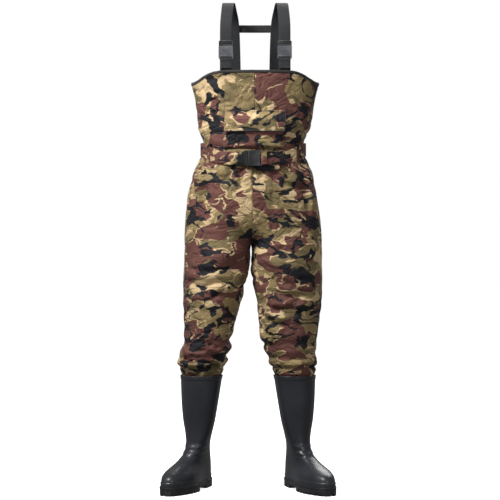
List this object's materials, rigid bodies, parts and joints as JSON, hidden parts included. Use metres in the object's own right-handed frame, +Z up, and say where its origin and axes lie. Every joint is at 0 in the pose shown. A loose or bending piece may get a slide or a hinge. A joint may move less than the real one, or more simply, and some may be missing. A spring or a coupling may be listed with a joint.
{
  "type": "chest waders",
  "caption": "Camouflage chest waders with joined rubber boots, flapped chest pocket, buckled waist belt and H-back shoulder straps with side-release buckles.",
  "frame": {"origin": "middle of the bounding box on the floor under the soles", "axes": "+Z up; -Y the way the toes and chest face; +X the wearer's left"},
  "size_m": [0.5344, 0.3303, 1.5079],
  "materials": {
    "camo_fabric": "matte coated weave, four-colour woodland camouflage",
    "binding": "matte woven tape",
    "hook_and_loop": "matte pile",
    "sealing_tape": "satin coated",
    "webbing": "matte woven",
    "buckle_plastic": "satin moulded",
    "boot_rubber": "semi-gloss moulded",
    "sole_rubber": "matte moulded",
    "boot_lining": "matte knit"
  },
  "bodies": {
    "waders": {"front_right_panel": "camo_fabric", "front_left_panel": "camo_fabric", "back_right_panel": "camo_fabric", "back_left_panel": "camo_fabric", "hem_binding": "binding", "front_seam_tape": "sealing_tape", "back_seam_tape": "sealing_tape", "chest_pocket": "camo_fabric", "pocket_loop_strip": "hook_and_loop", "waist_belt": "camo_fabric", "belt_loops": "camo_fabric", "waist_socket": "buckle_plastic", "right_strap": "webbing", "left_strap": "webbing", "cross_strap": "webbing", "right_tab": "webbing", "left_tab": "webbing", "right_socket": "buckle_plastic", "left_socket": "buckle_plastic", "right_boot": "boot_rubber", "left_boot": "boot_rubber", "right_outsole": "sole_rubber", "left_outsole": "sole_rubber", "right_insole": "boot_lining", "left_insole": "boot_lining", "right_lining": "boot_lining", "left_lining": "boot_lining", "right_cuff_seal": "sealing_tape", "left_cuff_seal": "sealing_tape"},
    "waist_plug_body": {"waist_plug": "buckle_plastic"},
    "waist_upper_body": {"waist_arm_upper": "buckle_plastic"},
    "waist_lower_body": {"waist_arm_lower": "buckle_plastic"},
    "right_plug_body": {"right_plug": "buckle_plastic"},
    "right_outer_body": {"right_arm_outer": "buckle_plastic"},
    "right_inner_body": {"right_arm_inner": "buckle_plastic"},
    "left_plug_body": {"left_plug": "buckle_plastic"},
    "left_outer_body": {"left_arm_outer": "buckle_plastic"},
    "left_inner_body": {"left_arm_inner": "buckle_plastic"},
    "flap_body": {"pocket_flap": "camo_fabric", "flap_hook_strip": "hook_and_loop"}
  },
  "joints": [
    {"name": "waist_plug_slide", "type": "slide", "parent": "waders", "child": "waist_plug_body", "axis": [-1, 0, 0], "range_m": [0, 0.03], "deforming": ["waist_arm_upper", "waist_arm_lower"]},
    {"name": "waist_upper_pinch", "type": "hinge", "parent": "waist_plug_body", "child": "waist_upper_body", "pos_m": [0.0062, -0.0875, 1.037], "axis": [0, 1, 0], "range_deg": [0, 15], "stiffness_Nm_per_rad": 0.15},
    {"name": "waist_lower_pinch", "type": "hinge", "parent": "waist_plug_body", "child": "waist_lower_body", "pos_m": [0.0062, -0.0875, 1.003], "axis": [0, -1, 0], "range_deg": [0, 15], "stiffness_Nm_per_rad": 0.15},
    {"name": "right_plug_slide", "type": "slide", "parent": "waders", "child": "right_plug_body", "axis": [0, 0, 1], "range_m": [0, 0.03], "deforming": ["right_arm_outer", "right_arm_inner"]},
    {"name": "right_outer_pinch", "type": "hinge", "parent": "right_plug_body", "child": "right_outer_body", "pos_m": [-0.081, -0.068, 1.3618], "axis": [0, -1, 0], "range_deg": [0, 15], "stiffness_Nm_per_rad": 0.15},
    {"name": "right_inner_pinch", "type": "hinge", "parent": "right_plug_body", "child": "right_inner_body", "pos_m": [-0.055, -0.068, 1.3618], "axis": [0, 1, 0], "range_deg": [0, 15], "stiffness_Nm_per_rad": 0.15},
    {"name": "left_plug_slide", "type": "slide", "parent": "waders", "child": "left_plug_body", "axis": [0, 0, 1], "range_m": [0, 0.03], "deforming": ["left_arm_outer", "left_arm_inner"]},
    {"name": "left_outer_pinch", "type": "hinge", "parent": "left_plug_body", "child": "left_outer_body", "pos_m": [0.125, -0.068, 1.3618], "axis": [0, 1, 0], "range_deg": [0, 15], "stiffness_Nm_per_rad": 0.15},
    {"name": "left_inner_pinch", "type": "hinge", "parent": "left_plug_body", "child": "left_inner_body", "pos_m": [0.099, -0.068, 1.3618], "axis": [0, -1, 0], "range_deg": [0, 15], "stiffness_Nm_per_rad": 0.15},
    {"name": "flap_hinge", "type": "hinge", "parent": "waders", "child": "flap_body", "pos_m": [0.022, -0.0797, 1.166], "axis": [-1, 0, 0], "range_deg": [0, 150]}
  ],
  "couplings": [
    {"joint": "waist_lower_pinch", "follows": "waist_upper_pinch", "ratio": 1},
    {"joint": "right_inner_pinch", "follows": "right_outer_pinch", "ratio": 1},
    {"joint": "left_inner_pinch", "follows": "left_outer_pinch", "ratio": 1}
  ]
}
